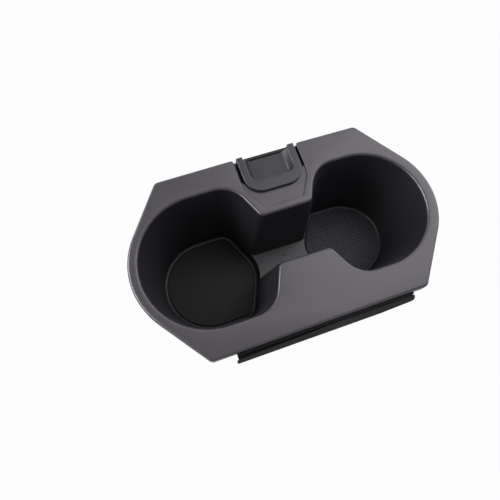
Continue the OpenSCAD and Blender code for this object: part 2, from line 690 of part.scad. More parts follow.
// Pan-head screw pointing up, with its head's top face at z = 0
module screw(core_r, len, head_r, head_h) {
    difference() {
        union() {
            translate([0, 0, -head_h]) cylinder(r1 = head_r - head_h / 3, r2 = head_r, h = head_h / 2);
            translate([0, 0, -head_h / 2]) cylinder(r = head_r, h = head_h / 2);
            cylinder(r = core_r, h = len - core_r);
            translate([0, 0, len - core_r]) cylinder(r1 = core_r, r2 = core_r / 3, h = core_r);
        }
        for (a = [0, 90]) rotate(a) translate([-head_r / 2, -head_h / 6, -head_h - over])
            cube([head_r, head_h / 3, over + head_h / 2]);
    }
}

module knob_screws() {
    color([0.62, 0.62, 0.6]) for (s = [-1, 1])
        translate([latch_x + s * knob_arm_x, knob_screw_y, deck_z - knob_seat_d - slider_t])
            screw(knob_screw_r, knob_screw_len, knob_screw_head_r, knob_screw_head_h);
}

module retainer_screws() {
    color([0.62, 0.62, 0.6]) for (b = BOSSES)
        translate([latch_x + b.x, b.y, deck_z - retainer_d - retainer_t])
            screw(screw_r, screw_len, screw_head_r, screw_head_h);
}

// Retainer plate that closes the latch from below
module latch_retainer() {
    y0 = recess_front_y;
    y1 = half_wid - skirt_t - slide_gap;
    y2 = back_boss_y - boss_r - retainer_corner_r;
    r = retainer_corner_r;
    front = front_boss_x + boss_r;
    back = back_boss_x + boss_r;
    color([0.07, 0.07, 0.075]) translate([latch_x, 0, deck_z - retainer_d - retainer_t]) difference() {
        linear_extrude(retainer_t) polygon(rounded(
            [[-front, y0], [front, y0], [front, notch_front_y], [back, y2], [back, y1],
             [-back, y1], [-back, y2], [-front, notch_front_y]],
            [r, r, r, r, r, r, r, r], corner_steps));
        for (b = BOSSES) translate([b.x, b.y, -over])
            cylinder(r = screw_r + screw_gap, h = retainer_t + 2 * over);
    }
}

// Compression spring along Y: a round wire swept along a helix with closed ends
module spring(side) {
    y0 = spring_wall_y + guide_t + spring_wire / 2;
    y1 = slider_front_y - spring_wire / 2;
    steps = coil_steps * spring_turns;
    sides = wire_sides;
    rings = [for (i = [0 : steps])
        let (turn = 360 * spring_turns * i / steps,
             lift = min(1, max(0, (turn - closed_turn) / (360 * spring_turns - 2 * closed_turn))),
             y = y0 + (y1 - y0) * lift)
        [for (k = [0 : sides - 1])
            let (b = 360 * k / sides, r = spring_r + spring_wire / 2 * cos(b))
            [r * cos(turn), y + spring_wire / 2 * sin(b), r * sin(turn)]]];
    translate([latch_x + side * spring_x, 0, deck_z - spring_d]) polyhedron(
        points = [for (r = rings) each r],
        faces = concat([span(0, sides)], [flip(span(steps * sides, sides))],
            [for (i = [0 : steps - 1])
                each wall_faces(span(i * sides, sides), span((i + 1) * sides, sides))]));
}

module latch_spring_left() {
    color([0.7, 0.7, 0.68]) spring(-1);
}

module latch_spring_right() {
    color([0.7, 0.7, 0.68]) spring(1);
}

// Rail along the front skirt: a web, a foot and a lip that widens along its length, held by hooks
module slide_rail() {
    y0 = -half_wid;
    y1 = -half_wid - rail_reach;
    a = -rail_len / 2;
    b = rail_len / 2;
    foot_d = rail_low_d - rail_t;
    color([0.05, 0.05, 0.052]) translate([latch_x, 0, 0]) {
        block(a, b, y0 - rail_t, y0, rail_low_d, rail_d);
        block(a, b, y1 + lip_w_start / 2, y0 - rail_t / 2, rail_low_d, foot_d);
        translate([0, 0, deck_z - rail_low_d]) linear_extrude(rail_t + lip_h) polygon(rounded(
            [[a - lip_over, y1], [b + lip_over, y1], [b + lip_over, y1 + lip_w_end],
             [a - lip_over, y1 + lip_w_start]],
            [lip_w_start / 3, lip_w_end / 2, lip_w_end / 4, lip_w_start / 3], corner_steps));
        for (i = [0 : rail_hooks - 1]) translate([(i - (rail_hooks - 1) / 2) * hook_pitch, 0, 0]) {
            block(-hook_wid / 2, hook_wid / 2, y0 - rail_t / 2, y0 + skirt_t + hook_gap + hook_t,
                hook_d + hook_t, hook_d);
            translate([-hook_wid / 2, y0 + skirt_t + hook_gap, deck_z - hook_d]) rotate([90, 0, 90])
                linear_extrude(hook_wid) polygon([[0, -hook_t / 2], [hook_t, -hook_t / 2], [hook_t, 0],
                    [hook_t / 3, barb_h], [0, barb_h]]);
        }
    }
}

tray();
large_cup_mat();
small_cup_mat();
latch_knob();
latch_slider();
knob_screws();
latch_spring_left();
latch_spring_right();
latch_retainer();
retainer_screws();
slide_rail();
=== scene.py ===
"""Drop-in double cup holder for a car's console: a grey deck with a large and a small cup joined by a bay,
rubber mats, a finger-pull latch at the back edge and a slide rail along the front edge."""

import bmesh
import bpy
import numpy as np
from mathutils import Matrix, Vector
from mathutils.geometry import tessellate_polygon


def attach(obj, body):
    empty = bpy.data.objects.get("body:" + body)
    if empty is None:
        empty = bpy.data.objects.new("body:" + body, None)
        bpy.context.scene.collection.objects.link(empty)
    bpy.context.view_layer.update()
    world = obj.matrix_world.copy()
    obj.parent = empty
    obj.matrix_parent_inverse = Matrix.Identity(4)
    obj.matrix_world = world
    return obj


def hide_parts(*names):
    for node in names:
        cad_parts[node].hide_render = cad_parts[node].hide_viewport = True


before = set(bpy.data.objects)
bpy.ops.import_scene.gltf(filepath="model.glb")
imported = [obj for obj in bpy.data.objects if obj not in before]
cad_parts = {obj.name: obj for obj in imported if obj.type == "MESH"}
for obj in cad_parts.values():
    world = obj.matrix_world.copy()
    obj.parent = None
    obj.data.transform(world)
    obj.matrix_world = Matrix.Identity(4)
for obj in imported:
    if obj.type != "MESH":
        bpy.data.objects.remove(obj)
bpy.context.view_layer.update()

# Tray: one injection moulding in satin grey plastic. The deck has rolled edges, both cups and the bay hang
# from it as drafted walls with a rounded foot, a skirt stiffens its outline, and the latch sits in a shallow
# recess at the back edge. All lengths below are millimetres, depths count down from the deck.
deck_z = 75.0
deck_thick = 2.6
deck_side = 64.0
flat_half = 76.0
end_x, end_r = 59.4, 51.2
corner_r = 4.5
deck_roll, recess_roll = 1.8, 0.9
wall_thick = 2.4
skirt_deep = 9.0
skirt_thick = 2.2
shelf_deep = 62.0
floor_deep = 72.2
foot_r = 2.0
hollow_high, hollow_in = 0.8, 8.0
rim_r = 1.8
rim_flare = 0.9
draft = np.tan(np.radians(7.3))
latch_x = 5.2
recess_w, recess_front, recess_turn = 24.0, 23.5, 40.0
recess_cut, recess_deep, mouth_r = 9.5, 1.4, 2.0
notch_front, notch_side = 36.1, 46.55
large_cup = dict(axis=57.6, r=45.3, shoulder=40.0, flank=24.0, flank_draft=np.tan(np.radians(6.4)),
                 side=-1)
small_cup = dict(axis=60.0, r=41.4, shoulder=49.0, flank=26.0, flank_draft=np.tan(np.radians(4.2)),
                 side=1)
shoulder_r = 20.0
bay_half = 17.0
bay_corner_r = 5.0
back_steps, shoulder_steps = 52, 20


def arc(cx, cy, r, a0, a1, n):
    """Circle arc: centre plus r times (cos a, sin a), with a in n even steps from a0 to a1 degrees. The
    centre and radius may be columns, one row for each level, and the result is levels x n x 2."""
    a = np.radians(np.linspace(a0, a1, n))
    return np.stack(np.broadcast_arrays(cx + r * np.cos(a), cy + r * np.sin(a)), -1)


def cup_wall(cup, depth, grow):
    """Plan outline of a cup's back and shoulder for each depth, on the -X side, y >= 0. Both arcs lose
    depth times the wall's draft from their radius, and the shoulder stays against the leaning flank."""
    d = (depth * draft - grow)[:, None]
    nx, ny = np.cos(np.radians(cup["flank"])), np.sin(np.radians(cup["flank"]))
    y = cup["r"] - shoulder_r
    h = -nx * cup["shoulder"] + ny * y + shoulder_r - (depth * cup["flank_draft"] - grow)[:, None]
    x = (h - (shoulder_r - d) - ny * y) / nx
    back = arc(np.full_like(d, -cup["axis"]), np.zeros_like(d), cup["r"] - d, 180, 90, back_steps)
    shoulder = arc(x, np.full_like(d, y), shoulder_r - d, 90, cup["flank"], shoulder_steps)
    return np.concatenate([back, shoulder], 1), h, nx, ny, d


def bay_corner(cup, depth, grow, n=14):
    """The deck's corner between a cup's flank and the bay: an arc of the same radius at every depth, whose
    centre keeps the flank's distance h and the bay wall's place."""
    _, h, nx, ny, d = cup_wall(cup, depth, grow)
    r = np.full_like(d, bay_corner_r) - grow[:, None]
    y = bay_half - d + r
    return arc((h + r - ny * y) / nx, y, r, cup["flank"] + 180, 270, n)


def crest(cup, depth, grow, shelf, base, n=14):
    """The arc that closes a cup below the shelf. It touches both flanks where the bay's corner leaves them
    at the shelf's depth, on the wall grown by base, and loses the flank's draft from its radius below."""
    at_shelf, wall = np.array([shelf]), np.array([float(base)])
    corner = bay_corner(cup, at_shelf, wall)[0, 0]
    _, h, nx, _, _ = cup_wall(cup, at_shelf, wall)
    r = corner[1] / np.sin(np.radians(cup["flank"]))
    shrink = ((depth - shelf) * cup["flank_draft"] - (grow - base))[:, None]
    x = np.full_like(shrink, (h[0, 0] - r) / nx)
    return arc(x, np.zeros_like(shrink), r - shrink, cup["flank"], 0, n)


def mirrored(half):
    """A closed ring from its half with y >= 0: the half, then its inner points back with y turned over."""
    back = half[:, -2:0:-1] * [1, -1]
    return np.concatenate([half, back], 1)


def opening(depth, grow):
    """Rings of the whole opening, both cups and the bay, one for each depth."""
    left, right = (np.concatenate([cup_wall(cup, depth, grow)[0], bay_corner(cup, depth, grow)], 1)
                   for cup in (large_cup, small_cup))
    return mirrored(np.concatenate([left, right[:, ::-1] * [-1, 1]], 1))


def lower_cup(cup, depth, grow, shelf=shelf_deep, base=0):
    """Rings of one cup below the shelf, closed by its crest."""
    half = np.concatenate([cup_wall(cup, depth, grow)[0], crest(cup, depth, grow, shelf, base)], 1)
    return mirrored(half) * [-cup["side"], 1]


def lift(rings, depth):
    """Plan rings set at their depths below the deck: levels x points x 3."""
    z = (deck_z - np.asarray(depth, float))[:, None, None]
    return np.concatenate([rings, np.broadcast_to(z, rings.shape[:2] + (1,))], 2)


def bands(levels, turn=False, closed=True):
    """Quads between neighbouring rings of a levels x points x 3 grid, as (points, faces). turn swaps the
    side that the faces point to."""
    rows, n = levels.shape[:2]
    i, j = np.meshgrid(np.arange(rows - 1), np.arange(n if closed else n - 1), indexing="ij")
    k = (j + 1) % n
    quads = np.stack([i * n + j, (i + 1) * n + j, (i + 1) * n + k, i * n + k], -1).reshape(-1, 4)
    return levels.reshape(-1, 3), [quads[:, ::-1] if turn else quads]


def cap(ring, turn=False):
    """One flat face over a ring of 3-D points, turned over where turn is set."""
    face = np.arange(len(ring))[None]
    return ring, [face[:, ::-1] if turn else face]


def sheet(outline, z, holes=(), up=True):
    """A flat face at height z inside an outline, less its holes, cut into triangles that all face one
    way."""
    loops = [np.asarray(loop)[:, :2] for loop in (outline, *holes)]
    flat = np.concatenate(loops)
    tri = np.array(tessellate_polygon([np.column_stack([loop, 0 * loop[:, 0]]).tolist() for loop in loops]))
    a, b, c = flat[tri[:, 0]], flat[tri[:, 1]], flat[tri[:, 2]]
    area = (b[:, 0] - a[:, 0]) * (c[:, 1] - a[:, 1]) - (b[:, 1] - a[:, 1]) * (c[:, 0] - a[:, 0])
    wrong = (area < 0) == up
    tri[wrong] = tri[wrong][:, ::-1]
    return np.column_stack([flat, np.full(len(flat), z)]), [tri]


def prism(ring, deep_low, deep_high):
    """An upright prism between two depths, over a ring that runs anticlockwise seen from above."""
    n = len(ring)
    low, high = (np.column_stack([ring, np.full(n, deck_z - d)]) for d in (deep_low, deep_high))
    points, walls = bands(np.stack([high, low]))
    return points, walls + [np.arange(n)[None], np.arange(n, 2 * n)[None, ::-1]]


def block(x0, x1, y0, y1, deep_low, deep_high):
    """An upright block between two depths."""
    return prism(np.array([[x0, y0], [x1, y0], [x1, y1], [x0, y1]], float), deep_low, deep_high)


def rounded_path(corners, radii, steps):
    """A closed outline with rounded corners, clockwise seen from above, as (points, normals into the
    solid). Each corner is an arc that touches both of its sides; its normals run along the arc's radii."""
    points, normals = [], []
    k = len(corners)
    c = np.asarray(corners, float)
    for i in range(k):
        p, q, s = c[i - 1], c[i], c[(i + 1) % k]
        u, v = (p - q) / np.linalg.norm(p - q), (s - q) / np.linalg.norm(s - q)
        half = np.arccos(np.clip(u @ v, -1, 1)) / 2
        m = (u + v) / np.linalg.norm(u + v)
        centre = q + m * radii[i] / np.sin(half)
        turn = np.sign(u[0] * v[1] - u[1] * v[0]) * (np.pi / 2 - half)
        a = np.arctan2(-m[1], -m[0]) + np.linspace(turn, -turn, steps[i])
        d = np.stack([np.cos(a), np.sin(a)], 1)
        points.append(centre + d * radii[i])
        normals.append(-d if turn > 0 else d)
    return np.concatenate(points), np.concatenate(normals)


def make_piece(name, parts, material, merge=1e-6, sharp=32):
    """A mesh object in metres from parts in millimetres, with doubles merged and edges sharper than the
    given angle left sharp."""
    starts = np.cumsum([0] + [len(points) for points, _ in parts])
    groups = [faces + start for (_, lists), start in zip(parts, starts) for faces in lists]
    sizes = np.concatenate([np.full(len(g), g.shape[1]) for g in groups])
    corners = np.concatenate([g.ravel() for g in groups])
    mesh = bpy.data.meshes.new(name)
    mesh.vertices.add(starts[-1])
    mesh.vertices.foreach_set("co", (np.concatenate([points for points, _ in parts]) * 0.001).ravel())
    mesh.loops.add(len(corners))
    mesh.loops.foreach_set("vertex_index", corners)
    mesh.polygons.add(len(sizes))
    mesh.polygons.foreach_set("loop_start", np.concatenate([[0], np.cumsum(sizes)[:-1]]))
    mesh.update(calc_edges=True)
    bm = bmesh.new()
    bm.from_mesh(mesh)
    bmesh.ops.remove_doubles(bm, verts=bm.verts, dist=merge)
    bmesh.ops.dissolve_degenerate(bm, dist=merge / 2, edges=bm.edges)
    bmesh.ops.recalc_face_normals(bm, faces=bm.faces)
    bm.to_mesh(mesh)
    bm.free()
    mesh.shade_smooth()
    mesh.set_sharp_from_angle(angle=np.radians(sharp))
    mesh.materials.append(material)
    piece = bpy.data.objects.new(name, mesh)
    bpy.context.scene.collection.objects.link(piece)
    return piece


# Outline of the deck with the latch's recess cut into its back edge, as corners, radii and steps. The
# slanted sides touch the round ends, and would meet at slant_tip.
flat_x = flat_half - end_x
touch = np.arctan2(deck_side, flat_x) - np.arccos(end_r / np.hypot(deck_side, flat_x))
slant_tip = end_x + end_r / np.cos(touch)
recess_side = [((recess_w, deck_side), mouth_r, 10), ((recess_w, recess_turn), 14.0, 12),
               ((recess_w - recess_cut, recess_front), 2.4, 8)]
deck_path, deck_in = rounded_path(*zip(
    ((-slant_tip, 0), end_r, 64), ((-flat_half, deck_side), corner_r, 12),
    *(((latch_x - x, y), r, steps) for (x, y), r, steps in recess_side),
    *(((latch_x + x, y), r, steps) for (x, y), r, steps in recess_side[::-1]),
    ((flat_half, deck_side), corner_r, 12), ((slant_tip, 0), end_r, 64),
    ((flat_half, -deck_side), corner_r, 12), ((-flat_half, -deck_side), corner_r, 12)))
from_latch = np.abs(deck_path[:, 0] - latch_x)
in_recess = (from_latch < recess_w + 0.01) & (deck_path[:, 1] > 0)
at_mouth = (from_latch < recess_w + mouth_r + 0.1) & (deck_path[:, 1] > deck_side - 2 * mouth_r)
edge_r = np.where(in_recess | at_mouth, recess_roll, deck_roll)
a = np.radians(np.linspace(90, 0, 7))[:, None]
roll = deck_path[None] + deck_in[None] * (edge_r * (1 - np.cos(a)))[..., None]
roll = np.concatenate([roll, (deck_z - edge_r * (1 - np.sin(a)))[..., None]], 2)
hem = np.column_stack([deck_path, np.full(len(deck_path), deck_z - deck_thick)])

# The skirt runs round the deck from one side of the recess's mouth to the other, and is thinner there
inside = in_recess & ~at_mouth
first = len(deck_path) - np.argmax(inside[::-1])
skirted, bare = np.split(np.roll(np.arange(len(deck_path)), -first), [np.sum(~inside)])
skirt_out = deck_path[skirted]
skirt_in = skirt_out + deck_in[skirted] * np.where(at_mouth[skirted], mouth_r - 0.1, skirt_thick)[:, None]
skirt = lift(np.stack([skirt_out, skirt_out, skirt_in, skirt_in]),
             [deck_thick, skirt_deep, skirt_deep, deck_thick])
under_deck = np.concatenate([skirt_in, skirt_out[-1:], deck_path[bare], skirt_out[:1]])

# Rim, walls and rounded feet of the wells on the upper side, then their shells below
t = np.radians(np.linspace(90, 0, 10))
rim_depth = np.concatenate([rim_r * (1 - np.sin(t)), np.linspace(rim_r, shelf_deep, 9)[1:]])
rim_grow = np.concatenate([rim_flare + rim_r * (1 - np.cos(t)), np.zeros(8)])
upper = opening(rim_depth, rim_grow)
n_back = back_steps + shoulder_steps


def lower_parts(depth_end, grow, shelf, turn, hollow=0):
    """Both cups below the shelf with their rounded feet and floors, from one wall grow value, and the
    crests that their uppermost rings give to the shelf. hollow is the height of a round hollow in the
    underside of each floor."""
    t = np.radians(np.linspace(0, 90, 9))
    straight = np.linspace(shelf, depth_end - foot_r, 3)[:-1]
    depth = np.concatenate([straight, depth_end - foot_r + foot_r * np.sin(t)])
    wide = np.concatenate([np.full(2, float(grow)), grow - foot_r * (1 - np.cos(t))])
    parts, tops = [], []
    for cup in (large_cup, small_cup):
        rings = lower_cup(cup, depth, wide, shelf, grow)
        parts.append(bands(lift(rings, depth), turn=turn != (cup["side"] < 0)))
        disc = circle * (cup["r"] - deck_z * draft + wall_thick - foot_r - hollow_in)
        disc = disc + [cup["side"] * cup["axis"], 0]
        parts.append(sheet(rings[-1], deck_z - depth_end, holes=[disc] if hollow else [], up=not grow))
        if hollow:
            levels = lift(np.stack([disc, disc]), [deck_z, deck_z - hollow])
            parts += [bands(levels), sheet(disc, hollow, up=False)]
        tops.append(rings[0][n_back:len(rings[0]) - n_back + 1])
    return parts, tops


turn_360 = np.radians(np.arange(0, 360, 5))
circle = np.column_stack([np.cos(turn_360), np.sin(turn_360)])


def shelf_ring(ring, crests):
    """The shelf's outline: both long sides of the bay from one ring of the opening, and the cups' crests."""
    bay_side = ring[n_back:len(ring) // 2 - n_back + 1]
    return np.concatenate([bay_side, crests[1][1:-1], (bay_side * [1, -1])[::-1], crests[0][::-1][1:-1]])


top_parts, crests = lower_parts(floor_deep, 0, shelf_deep, False)
shelf = shelf_ring(upper[-1], crests)
shell_depth = np.linspace(deck_thick, shelf_deep + wall_thick, 6)
shell = opening(shell_depth, np.full(6, wall_thick))
under_parts, under_crests = lower_parts(deck_z, wall_thick, shelf_deep + wall_thick, True, hollow_high)
under_shelf = shelf_ring(shell[-1], under_crests)

# Floor of the latch recess, then the latch's guide walls with a ledge and a stop each, its spring wall and
# its four screw bosses. What hangs from the deck starts at the depth in_deck, inside it.
in_deck = 2.4
guide_thick, guide_deep, guide_end = 2.2, 19.8, 62.0
ledge_w, ledge_high, ledge_low, stop_low = 1.95, 5.3, 7.5, 10.2
spring_wall_y, spring_wall_high = 24.5, 2.5
front_boss, back_boss, boss_r = (18.3, 28.9), (29.0, 57.1), 3.2
recess_half = np.array([[recess_w + guide_thick, notch_side], [recess_w + guide_thick, recess_turn],
                        [recess_w - 7.3, recess_front - guide_thick]])
notch_half = np.array([[recess_w - 10.45, notch_front], [recess_w, notch_side]])
recess_ring = np.concatenate([recess_half, recess_half[::-1] * [-1, 1],
                              notch_half[::-1] * [-1, 1], notch_half])
stiffeners = [prism(recess_ring[::-1] + [latch_x, 0], 3.6, recess_deep)]
for side in (-1, 1):
    guide = sorted([latch_x + side * recess_w, latch_x + side * (recess_w + guide_thick)])
    ledge = sorted([latch_x + side * (recess_w - ledge_w), latch_x + side * (recess_w + 1)])
    stiffeners += [block(*guide, notch_front, guide_end, guide_deep, deck_thick),
                   block(*ledge, notch_front, guide_end - 0.3, ledge_low, ledge_high),
                   block(*ledge, guide_end, deck_side, stop_low, ledge_high)]
    for boss_x, boss_y in (front_boss, back_boss):
        boss = circle[::2] * boss_r + [latch_x + side * boss_x, boss_y]
        stiffeners.append(prism(boss, guide_deep, in_deck))
stiffeners.append(block(latch_x - front_boss[0], latch_x + front_boss[0],
                        spring_wall_y, spring_wall_y + guide_thick, guide_deep, spring_wall_high))

# Ribs from each cup to the skirt: one at the end with one on either side of it, and one square to each long
# edge. They reach a little into the cup's shell, the skirt and the deck.
rib_half, rib_low = 0.9, 7.2
beside = np.pi - np.arctan2(deck_side, slant_tip - end_x)
beside = beside + np.arccos(end_r / np.hypot(deck_side, slant_tip - end_x))
for cup in (large_cup, small_cup):
    beside_reach = np.cos(beside) * (cup["axis"] - end_x) + end_r
    for along, reach in ((np.pi, end_x + end_r - cup["axis"]), (beside, beside_reach),
                         (-beside, beside_reach), (np.pi / 2, deck_side), (-np.pi / 2, deck_side)):
        near, far = cup["r"] + 1, reach - 1.5
        rib = np.array([[near, -rib_half], [far, -rib_half], [far, rib_half], [near, rib_half]])
        rib = rib @ [[np.cos(along), np.sin(along)], [-np.sin(along), np.cos(along)]] - [cup["axis"], 0]
        stiffeners.append(prism(rib if cup["side"] < 0 else (rib * [-1, 1])[::-1], rib_low, in_deck))

# The moulding's gate leaves a small domed mark on the shelf
gate_r, gate_high, gate_x, gate_y = 1.1, 0.35, 5.6, 1.8
dome = np.radians(np.linspace(90, 0, 6))[1:]
gate = circle[::-1] * gate_r * np.cos(dome)[:, None, None] + [gate_x, gate_y]
gate_levels = lift(gate, shelf_deep + 0.05 - gate_high * np.sin(dome))

tray_parts = [
    bands(np.concatenate([roll, hem[None]]), turn=True),
    sheet(roll[0], deck_z, holes=[upper[0]]),
    sheet(under_deck, deck_z - deck_thick, holes=[shell[0]], up=False),
    bands(skirt, turn=True, closed=False), cap(skirt[:, 0], turn=True), cap(skirt[:, -1]),
    bands(lift(upper, rim_depth)),
    sheet(shelf, deck_z - shelf_deep),
    bands(lift(shell, shell_depth), turn=True),
    sheet(under_shelf, deck_z - shelf_deep - wall_thick, up=False),
    bands(gate_levels), cap(gate_levels[0]), cap(gate_levels[-1], turn=True),
    *top_parts, *under_parts, *stiffeners,
]


def plastic(name, colour, rough, shine=0.5, grain=0.35, depth=0.04, mottle=0.06, painted_shade_by_depth=None):
    """Moulded plastic on Object coordinates: a fine spark-eroded grain as bump, a broad faint mottle in its
    colour and gloss, and edges softened by the Bevel node. painted_shade_by_depth is (start, end, share,
    added roughness): between those depths below the deck the colour falls to that share as painted shade,
    and the surface gets rougher."""
    m = bpy.data.materials.new(name)
    m.use_nodes = True
    nodes, links = m.node_tree.nodes, m.node_tree.links
    shader = nodes["Principled BSDF"]
    shader.inputs["Specular IOR Level"].default_value = shine
    place = nodes.new("ShaderNodeTexCoord")
    fine = nodes.new("ShaderNodeTexNoise")
    fine.inputs["Scale"].default_value = 1000 / grain
    fine.inputs["Detail"].default_value = 3
    fine.inputs["Roughness"].default_value = 0.6
    broad = nodes.new("ShaderNodeTexNoise")
    broad.inputs["Scale"].default_value = 45
    broad.inputs["Detail"].default_value = 4
    tint = nodes.new("ShaderNodeValToRGB")
    tint.color_ramp.elements[0].position = 0.3
    tint.color_ramp.elements[1].position = 0.7
    tint.color_ramp.elements[0].color = [c * (1 - mottle) for c in colour] + [1]
    tint.color_ramp.elements[1].color = [c * (1 + mottle) for c in colour] + [1]
    gloss = nodes.new("ShaderNodeMapRange")
    gloss.inputs["To Min"].default_value = rough - 0.04
    gloss.inputs["To Max"].default_value = rough + 0.05
    bevel = nodes.new("ShaderNodeBevel")
    bevel.samples = 6
    bevel.inputs["Radius"].default_value = 0.0005
    bump = nodes.new("ShaderNodeBump")
    bump.inputs["Strength"].default_value = 0.5
    bump.inputs["Distance"].default_value = depth * 0.001
    for tex in (fine, broad):
        links.new(place.outputs["Object"], tex.inputs["Vector"])
    links.new(broad.outputs["Fac"], tint.inputs["Fac"])
    links.new(tint.outputs["Color"], shader.inputs["Base Color"])
    links.new(fine.outputs["Fac"], gloss.inputs["Value"])
    links.new(gloss.outputs["Result"], shader.inputs["Roughness"])
    links.new(fine.outputs["Fac"], bump.inputs["Height"])
    links.new(bevel.outputs["Normal"], bump.inputs["Normal"])
    links.new(bump.outputs["Normal"], shader.inputs["Normal"])
    # Painted shade: the base colour darkens between the two depths in place of the shade inside hollows; the
    # added roughness is the finish.
    if painted_shade_by_depth:
        start, end, share, rougher = painted_shade_by_depth
        height = nodes.new("ShaderNodeSeparateXYZ")
        links.new(place.outputs["Object"], height.inputs["Vector"])
        ends = []
        for low, high in ((share, 1.0), (rougher, 0.0)):
            fall = nodes.new("ShaderNodeMapRange")
            fall.interpolation_type = "SMOOTHSTEP"
            fall.inputs["From Min"].default_value = (deck_z - end) * 0.001
            fall.inputs["From Max"].default_value = (deck_z - start) * 0.001
            fall.inputs["To Min"].default_value = low
            fall.inputs["To Max"].default_value = high
            links.new(height.outputs["Z"], fall.inputs["Value"])
            ends.append(fall.outputs["Result"])
        painted_shade = nodes.new("ShaderNodeVectorMath")
        painted_shade.operation = "SCALE"
        links.new(tint.outputs["Color"], painted_shade.inputs[0])
        links.new(ends[0], painted_shade.inputs["Scale"])
        links.new(painted_shade.outputs["Vector"], shader.inputs["Base Color"])
        coarser = nodes.new("ShaderNodeMath")
        coarser.operation = "ADD"
        links.new(gloss.outputs["Result"], coarser.inputs[0])
        links.new(ends[1], coarser.inputs[1])
        links.new(coarser.outputs["Value"], shader.inputs["Roughness"])
    return m


# The tray's colour falls to a third from 0.9 to 3 mm below the deck: painted shade on everything lower, the
# walls, feet, floors and shelf inside the cups and the bay among it, which also get rougher.
grey_plastic = plastic("satin grey moulding", (0.078, 0.069, 0.087), 0.33, 0.36, painted_shade_by_depth=(0.9, 3.0, 0.32, 0.1))
tray = make_piece("tray_moulding", tray_parts, grey_plastic)
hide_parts("tray")
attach(tray, "tray")

# Mats: two pieces of black rubber, 2.2 mm thick with a rounded top edge, that lie loose on the cup floors.
# The large cup's mat is smooth; the small cup's has a square grid of fine raised dots, 1.8 mm apart.
mat_thick, mat_edge, mat_gap = 2.2, 0.8, 0.3


def mat_parts(cup):
    """A mat's side and rounded edge as rings inset from the cup's foot, its top and its underside."""
    t = np.radians(np.linspace(0, 90, 6))
    inset = foot_r + mat_gap + np.concatenate([[0], mat_edge * (1 - np.cos(t))])
    deep = np.concatenate([[floor_deep], floor_deep - mat_thick + mat_edge * (1 - np.sin(t))])
    rings = lower_cup(cup, np.full(len(deep), floor_deep), -inset)
    return [bands(lift(rings, deep), turn=cup["side"] < 0), sheet(rings[-1], deck_z - deep[-1]),
            sheet(rings[0], deck_z - deep[0], up=False)]


def rubber(name, colour, dots):
    """Black rubber on Object coordinates: a fine grain, and where dots is more than 0 a square grid of round
    dots, each a smooth bump about the middle of its cell, with a painted highlight that makes its top paler."""
    m = plastic(name, colour, 0.6, 0.25 if dots else 0.17, grain=0.6, depth=0.05, mottle=0.08)
    if not dots:
        return m
    nodes, links = m.node_tree.nodes, m.node_tree.links
    place = nodes.new("ShaderNodeTexCoord")
    cells = nodes.new("ShaderNodeVectorMath")
    cells.operation = "SCALE"
    cells.inputs["Scale"].default_value = 1000 / dots
    cell = nodes.new("ShaderNodeVectorMath")
    cell.operation = "FRACTION"
    middle = nodes.new("ShaderNodeVectorMath")
    middle.operation = "SUBTRACT"
    middle.inputs[1].default_value = (0.5, 0.5, 0)
    plan = nodes.new("ShaderNodeVectorMath")
    plan.operation = "MULTIPLY"
    plan.inputs[1].default_value = (1, 1, 0)
    away = nodes.new("ShaderNodeVectorMath")
    away.operation = "LENGTH"
    dot = nodes.new("ShaderNodeMapRange")
    dot.interpolation_type = "SMOOTHSTEP"
    dot.inputs["From Min"].default_value = 0.42
    dot.inputs["From Max"].default_value = 0.16
    bump = nodes.new("ShaderNodeBump")
    bump.inputs["Distance"].default_value = 0.0006
    bump.inputs["Strength"].default_value = 1
    # Painted highlight: each dot's top is made up to 3.4 times paler than the rubber between dots, in place
    # of the light on its raised top.
    painted_dot_highlight = nodes.new("ShaderNodeMix")
    painted_dot_highlight.data_type = "RGBA"
    painted_dot_highlight.blend_type = "MULTIPLY"
    painted_dot_highlight.inputs["Factor"].default_value = 1
    shade = nodes.new("ShaderNodeMapRange")
    shade.inputs["To Min"].default_value = 0.75
    shade.inputs["To Max"].default_value = 3.4
    shader = nodes["Principled BSDF"]
    colour_from = shader.inputs["Base Color"].links[0].from_socket
    normal_from = shader.inputs["Normal"].links[0].from_socket
    links.new(place.outputs["Object"], cells.inputs[0])
    links.new(cells.outputs["Vector"], cell.inputs[0])
    links.new(cell.outputs["Vector"], middle.inputs[0])
    links.new(middle.outputs["Vector"], plan.inputs[0])
    links.new(plan.outputs["Vector"], away.inputs[0])
    links.new(away.outputs["Value"], dot.inputs["Value"])
    links.new(dot.outputs["Result"], bump.inputs["Height"])
    links.new(normal_from, bump.inputs["Normal"])
    links.new(bump.outputs["Normal"], shader.inputs["Normal"])
    links.new(dot.outputs["Result"], shade.inputs["Value"])
    links.new(colour_from, painted_dot_highlight.inputs["A"])
    links.new(shade.outputs["Result"], painted_dot_highlight.inputs["B"])
    links.new(painted_dot_highlight.outputs["Result"], shader.inputs["Base Color"])
    return m


for node, cup, colour, dots in (("large_cup_mat", large_cup, (0.013, 0.013, 0.014), 0),
                                ("small_cup_mat", small_cup, (0.042, 0.04, 0.05), 1.8)):
    mat = make_piece(node + "_rubber", mat_parts(cup), rubber(node.replace("_", " "), colour, dots))
    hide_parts(node)
    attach(mat, "tray")

# Finger pull: a U-shaped cap in the tray's grey plastic with a sloping pocket for a fingertip. Its lower
# block sits on the slider, to which two screws from below hold it. All edges are softly rounded.
pull_w, pull_r, pull_top, pull_edge = 21.75, 13.0, 1.2, 0.7
pull_front, pull_back, pull_stop = 34.5, 64.0, 61.4
pocket_w, pocket_r, pocket_lean = 16.45, 6.0, 4.1
pocket_front, pocket_deepest, pocket_shallow = 43.5, 6.0, 3.2
seat_w, seat_front, seat_side, seat_deep, lip_deep = 13.25, 41.7, 50.2, 7.8, 1.1
arm_in = 17.1
n_u, n_seat = 24, 16


